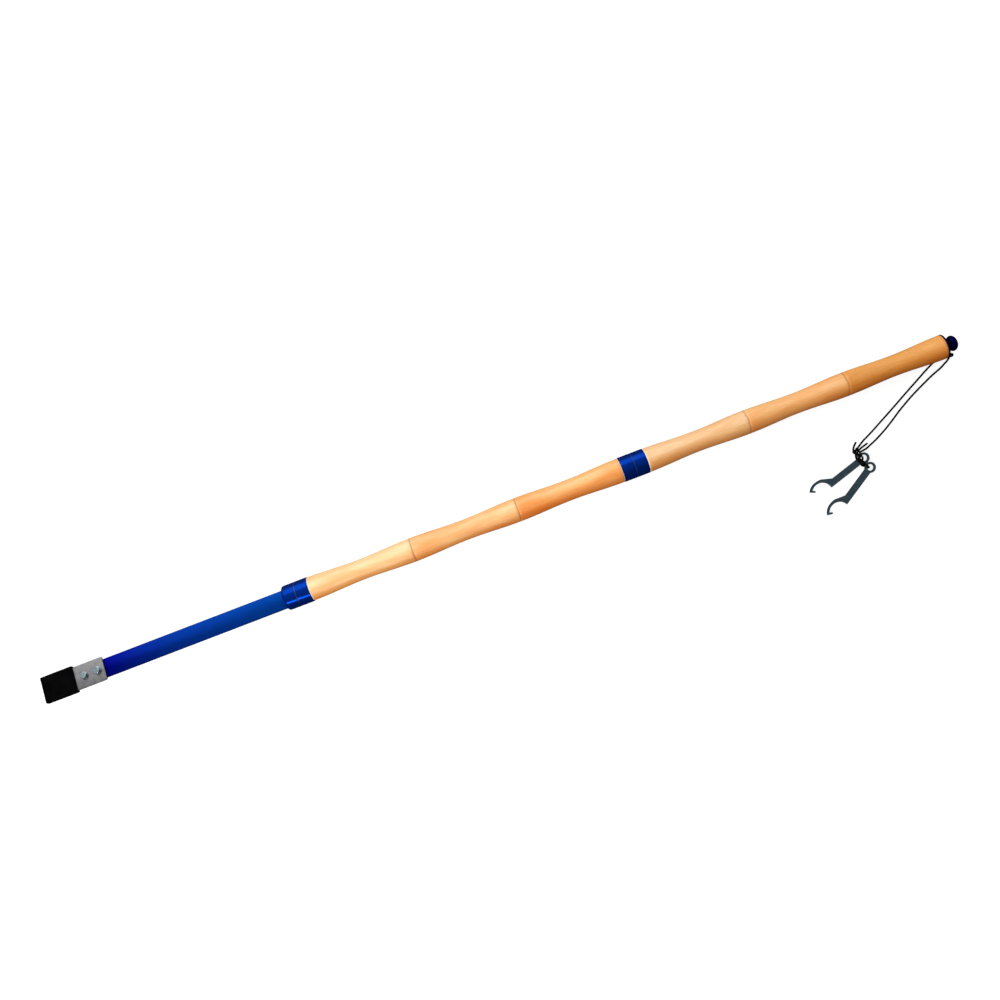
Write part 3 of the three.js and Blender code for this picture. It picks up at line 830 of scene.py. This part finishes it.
def grip_profile(x0, x1, start_radius, end_radius):
    """A grip's outline: a cosine waist between its two end radii."""
    steps = 44
    ease = 0.35 * MM  # the ends are eased, which makes the fine groove at each joint
    line = [(x0, GRIP_BORE), (x0, start_radius - ease)]
    for i in range(steps + 1):
        share = i / steps
        radius = start_radius + (end_radius - start_radius) * share
        radius -= WAIST_DEPTH * (1 - math.cos(2 * math.pi * share)) / 2
        line.append((x0 + ease + (x1 - x0 - 2 * ease) * share, radius))
    line += [(x1, end_radius - ease), (x1, GRIP_BORE)]
    return line


def make_grips():
    seed = 1
    for section, grips in GRIPS.items():
        for i, (start_radius, end_radius, light, dark) in enumerate(grips, 1):
            node = f"{section}_grip_{i}"
            low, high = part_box(node)
            collars = (i == 1, (section, i) == ("front_section", 3))
            wood = beech(f"beech_{seed}", seed, light, dark, (low.x, high.x), collars)
            profile = grip_profile(low.x, high.x, start_radius * MM, end_radius * MM)
            turned_piece(f"turned_grip_{section}_{i}", profile, wood, section, "beech", [node], sharp=50)
            seed += 1


def make_core_tubes(steel):
    for section in GRIPS:
        low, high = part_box(f"{section}_core_tube")
        outline = [(low.x, TUBE_INNER), (low.x, TUBE_OUTER), (high.x, TUBE_OUTER), (high.x, TUBE_INNER)]
        turned_piece(
            f"{section}_steel_core", outline, steel, section, "bare_steel", [f"{section}_core_tube"], 0.4 * MM
        )


# ---------------------------------------------------------------- the butt

KNOB_RADIUS, KNOB_HALF, NECK_RADIUS, KNOB_FLAT = 12.5 * MM, 7.97 * MM, 6.5 * MM, 4 * MM
FLANGE_RADIUS = 19.6 * MM
SHOULDER_RADIUS, SHOULDER_THICKNESS = 9 * MM, 0.7 * MM


def make_butt(paint):
    low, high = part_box("butt_flange")
    outline = [
        (low.x, SOCKET_RADIUS), (low.x, FLANGE_RADIUS), (high.x, FLANGE_RADIUS), (high.x, SOCKET_RADIUS),
    ]
    turned_piece("butt_end_flange", outline, paint, "rear_section", "blue_paint", ["butt_flange"], 0.9 * MM)
    low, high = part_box("butt_knob")
    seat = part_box("butt_washer")[1].x + 0.3 * MM
    centre = high.x - KNOB_HALF * math.sqrt(1 - (KNOB_FLAT / KNOB_RADIUS) ** 2)
    neck_end = centre - KNOB_HALF * math.sqrt(1 - (NECK_RADIUS / KNOB_RADIUS) ** 2)
    neck_start = seat + SHOULDER_THICKNESS
    shoulder = [(seat, 0), (seat, SHOULDER_RADIUS), (neck_start, SHOULDER_RADIUS), (neck_start, NECK_RADIUS)]
    line = rounded_corners(shoulder + [(neck_end, NECK_RADIUS)], 0.25 * MM)
    start = math.asin(NECK_RADIUS / KNOB_RADIUS)
    end = math.pi - math.asin(KNOB_FLAT / KNOB_RADIUS)
    steps = 36
    for i in range(1, steps + 1):
        angle = start + (end - start) * i / steps
        line.append((centre - KNOB_HALF * math.cos(angle), KNOB_RADIUS * math.sin(angle)))
    line.append((high.x, 0))
    knob = turned_mesh(line)
    rows = [(low.x, [STUD_RADIUS - STUD_CHAMFER] * THREAD_SIDES)]
    rows += threaded_rows(low.x + 0.6 * MM, seat + 0.2 * MM, STUD_RADIUS, THREAD_DEPTH, THREAD_PITCH)
    stud, stud_faces = rows_mesh(rows)
    stud = placed(stud, Matrix.Translation((0, 0, AXIS_Z)))
    vertices, faces = joined(knob, (stud, stud_faces))
    new_piece("round_butt_knob", vertices, faces, paint, "butt_knob", "blue_paint", ["butt_knob"], 30)


# ---------------------------------------------------------------- the lanyard

# These three routes are the CAD ones, in millimetres.
STRAND_A = [
    (753.4, -19.8, 6.4), (751.6, -22.3, 3.9), (749.2, -24.2, 2.3), (745.5, -26.2, 1.7), (736.8, -30.6, 1.6),
    (721.5, -36.2, 1.6), (706.3, -42.7, 1.6), (679, -55.4, 1.6), (652.4, -70.1, 1.6), (634.5, -81.5, 1.6),
    (618.2, -91.1, 1.6), (601.7, -99.4, 1.6), (590.5, -104.1, 1.6), (580.6, -107.8, 1.6),
    (570.6, -109.2, 2.2),
]
STRAND_B = [
    (752, -14.8, 5.9), (749.8, -14, 3.7), (747.2, -13.8, 2.3), (743.5, -14.2, 1.8), (735.6, -16.3, 1.6),
    (725.9, -19.9, 1.6), (711.4, -26.9, 1.6), (696.4, -34.8, 1.6), (669, -49.1, 1.6), (641.8, -63.6, 1.6),
    (615, -77.5, 1.6), (600.8, -84.9, 1.6), (587.3, -91.4, 1.6), (580.5, -94.6, 1.6), (568.4, -101.8, 2.6),
]
LOOP = [
    (562.6, -111.8, 8.9), (562.6, -115.4, 9.1), (564, -120.2, 9.2), (567, -124.8, 9.2), (568.9, -128.9, 9.2),
    (569.9, -132.3, 9.2), (571.7, -134.9, 8.8), (572.7, -136.6, 6.3), (572.7, -137, 3.5), (572, -136.2, 1.75),
    (570.3, -132, 1.6), (568.8, -127.2, 1.6), (568.6, -124, 1.8), (568.8, -121.6, 3.4), (568.7, -119.8, 6.6),
    (567.9, -116.6, 8.9), (566.6, -113.4, 9.1), (565.9, -111.7, 8.7),
]
KNOT_CENTRE = Vector((564, -106.6, 5.2)) * MM
HITCH_KNOT = Vector((755.5, -16.2, 8.8)) * MM
HITCH_RING = (750.3 * MM, 8.35 * MM)  # the station and radius of the turn round the neck
HITCH_LINK_ANGLES = (206, 228)  # where two short links leave that turn for the knot
# The cord's two cut ends, and a second turn round the first spanner's root.
LOOSE_ENDS = {
    "knot_tail_1": [
        (563, -108.5, 5.5), (560.2, -105.5, 4.6), (561.2, -101.2, 2.6), (564.5, -97, 1.7),
        (569.2, -92.6, 1.6),
    ],
    "knot_tail_2": [
        (566, -106, 5), (569.4, -105, 4.6), (574, -103.6, 3.2), (579, -102.3, 1.9), (585.5, -100.6, 1.6),
    ],
    "second_turn": [
        (560, -110.2, 7.4), (559.4, -113.5, 8.4), (559.6, -118, 8.9), (561.4, -123, 9), (564, -127.5, 8.8),
        (566, -130.6, 7.2), (566.2, -131.8, 4.9), (565.2, -130.4, 2.2), (563.2, -126, 1.6),
        (561.6, -120, 1.6), (561, -114.5, 1.6), (561.8, -110.5, 2.4),
    ],
}


def smooth_path(points, step):
    """A Catmull-Rom curve through the points, in metres, sampled about every step."""
    line = [Vector(p) * MM for p in points]
    line = [2 * line[0] - line[1], *line, 2 * line[-1] - line[-2]]
    path = []
    for a, b, c, d in zip(line, line[1:], line[2:], line[3:]):
        count = max(2, round((c - b).length / step))
        for i in range(count):
            t = i / count
            bend = 2 * a - 5 * b + 4 * c - d
            twist = 3 * b - a - 3 * c + d
            path.append(0.5 * (2 * b + (c - a) * t + bend * t * t + twist * t**3))
    path.append(line[-2])
    return path


def carried_frames(path, closed):
    """Two directions across the path at each point, carried along it without twist."""
    count = len(path)
    frames, across = [], None
    for i in range(count):
        before = path[i - 1] if i or closed else path[0]
        after = path[(i + 1) % count] if i < count - 1 or closed else path[-1]
        forward = (after - before).normalized()
        if across is None:
            across = forward.cross(Vector((0, 0, 1)) if abs(forward.z) < 0.9 else Vector((1, 0, 0)))
        across = (across - forward * across.dot(forward)).normalized()
        frames.append((across.copy(), forward.cross(across)))
    return frames


def cord_mesh(name, path, closed, sides=20):
    """A braided tube with rounded ends, or a closed one, with UVs that follow the braid."""
    plaits, plait_length, relief = 8, 4.5 * MM, 0.03
    frames = carried_frames(path, closed)
    vertices, faces, along = [], [], [0.0]
    for a, b in zip(path, path[1:]):
        along.append(along[-1] + (b - a).length)
    for place, (across, up), distance in zip(path, frames, along):
        phase = 2 * math.pi * distance / plait_length
        for i in range(sides):
            angle = 2 * math.pi * i / sides
            plait = math.sin(plaits / 2 * angle + phase) * math.sin(plaits / 2 * angle - phase)
            reach = CORD_RADIUS * (1 + relief * plait)
            vertices.append(place + reach * (across * math.cos(angle) + up * math.sin(angle)))
    count = len(path)
    for k in range(count if closed else count - 1):
        for i in range(sides):
            j = (i + 1) % sides
            a, b = k * sides, (k + 1) % count * sides
            faces.append((a + i, a + j, b + j, b + i))
    if not closed:
        for row, neighbour in ((0, 1), (count - 1, count - 2)):
            outward = (path[row] - path[neighbour]).normalized()
            rim = range(row * sides, (row + 1) * sides)
            ring = rim
            for share in (0.45, 0.8):
                start = len(vertices)
                shrink = math.sqrt(1 - share * share)
                for i in rim:
                    arm = vertices[i] - path[row]
                    vertices.append(path[row] + arm * shrink + outward * CORD_RADIUS * share * 0.6)
                new_ring = list(range(start, start + sides))
                for i in range(sides):
                    j = (i + 1) % sides
                    faces.append((ring[i], ring[j], new_ring[j], new_ring[i]))
                ring = new_ring
            faces.append(tuple(ring))
    mesh = bpy.data.meshes.new(name)
    mesh.from_pydata([tuple(v) for v in vertices], [], faces)
    shape = bmesh.new()
    shape.from_mesh(mesh)
    bmesh.ops.recalc_face_normals(shape, faces=shape.faces)
    layer = shape.loops.layers.uv.new("braid")
    for face in shape.faces:
        columns = [loop.vert.index % sides for loop in face.loops]
        wraps = max(columns) - min(columns) > sides / 2
        for loop, column in zip(face.loops, columns):
            row = min(loop.vert.index // sides, count - 1)
            turn = column + sides if wraps and column < sides / 2 else column
            loop[layer].uv = (turn / sides, along[row] / plait_length)
    shape.to_mesh(mesh)
    shape.free()
    mesh.shade_smooth()
    return mesh


def cord_piece(name, path, material, body, replaces=(), closed=False):
    """A length of the cord along a path, which rides on a body."""
    mesh = cord_mesh(name, path, closed)
    mesh.materials.append(material)
    piece = bpy.data.objects.new(name, mesh)
    bpy.context.scene.collection.objects.link(piece)
    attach(piece, body)
    if replaces:
        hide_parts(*replaces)
    return piece


def overhand_knot(centre, size, turn, steps=120):
    """The closed path of an overhand knot of that overall size, turned about the vertical."""
    path = []
    rotation = Matrix.Rotation(turn, 3, "Z")
    for i in range(steps):
        t = 2 * math.pi * i / steps
        x = math.sin(t) + 2 * math.sin(2 * t)
        y = math.cos(t) - 2 * math.cos(2 * t)
        z = -math.sin(3 * t)
        path.append(centre + rotation @ Vector((x * size[0] / 5.2, y * size[1] / 5.2, z * size[2] / 2)))
    return path


def make_lanyard(cord):
    knot = cord_piece(
        "overhand_knot", overhand_knot(KNOT_CENTRE, (9.0 * MM, 9.6 * MM, 4.6 * MM), 0.5), cord, "lanyard",
        ["lanyard_knot"], closed=True,
    )
    extras = [
        cord_piece(name, smooth_path(route, 0.5 * MM), cord, "lanyard") for name, route in LOOSE_ENDS.items()
    ]
    loop_path = smooth_path(LOOP, 0.5 * MM)
    loop = cord_piece("spanner_loop", loop_path, cord, "lanyard", ["lanyard_loop"])
    strand_a_path = smooth_path(STRAND_A, 0.7 * MM)
    strand_b_path = smooth_path(STRAND_B, 0.7 * MM)
    strand_a = cord_piece("lanyard_cord_a", strand_a_path, cord, "lanyard", ["lanyard_strand_a"])
    strand_b = cord_piece("lanyard_cord_b", strand_b_path, cord, "lanyard", ["lanyard_strand_b"])


def make_hitch(cord):
    """The cord's turn round the knob's neck, and the knot beside the knob that the strands come from."""
    station, radius = HITCH_RING
    steps = 72

    def on_ring(degrees):
        angle = math.radians(degrees)
        return Vector((station, radius * math.cos(angle), AXIS_Z + radius * math.sin(angle)))

    turn = [on_ring(360 * i / steps) for i in range(steps)]
    cord_piece("hitch_turn", turn, cord, "butt_washer", ["lanyard_hitch"], closed=True)
    link_steps = 12
    for i, degrees in enumerate(HITCH_LINK_ANGLES, 1):
        start = on_ring(degrees)
        link = [start.lerp(HITCH_KNOT, k / link_steps) for k in range(link_steps)]
        cord_piece(f"hitch_link_{i}", link, cord, "butt_washer")
    knot = overhand_knot(HITCH_KNOT, (6.4 * MM, 6.4 * MM, 4.4 * MM), 0.9)
    cord_piece("hitch_knot", knot, cord, "butt_washer", closed=True)


def dress_spanners(material):
    """The CAD spanners, with eased edges and blued steel."""
    for i in (1, 2):
        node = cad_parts[f"hook_spanner_{i}"]
        node.data.materials.clear()
        node.data.materials.append(material)
        weld = node.modifiers.new("weld", "WELD")
        weld.merge_threshold = 1e-6
        bevel = node.modifiers.new("eased_edges", "BEVEL")
        bevel.width = 0.35 * MM
        bevel.segments = 2
        bevel.limit_method = "ANGLE"
        bevel.angle_limit = math.radians(50)


make_camera()
make_light()
make_floor()
cord = braided_cord()
make_hitch(cord)
make_lanyard(cord)
paint, zinc, rubber, nylon, steel = blue_enamel(), zinc_plate(), black_rubber(), blue_nylon(), turned_steel()
make_blade(paint, zinc, rubber)
make_tip_fasteners(zinc_fastener())
make_collars(paint, steel, nylon)
make_core_tubes(steel)
make_grips()
make_butt(paint)
dress_spanners(blued_steel())
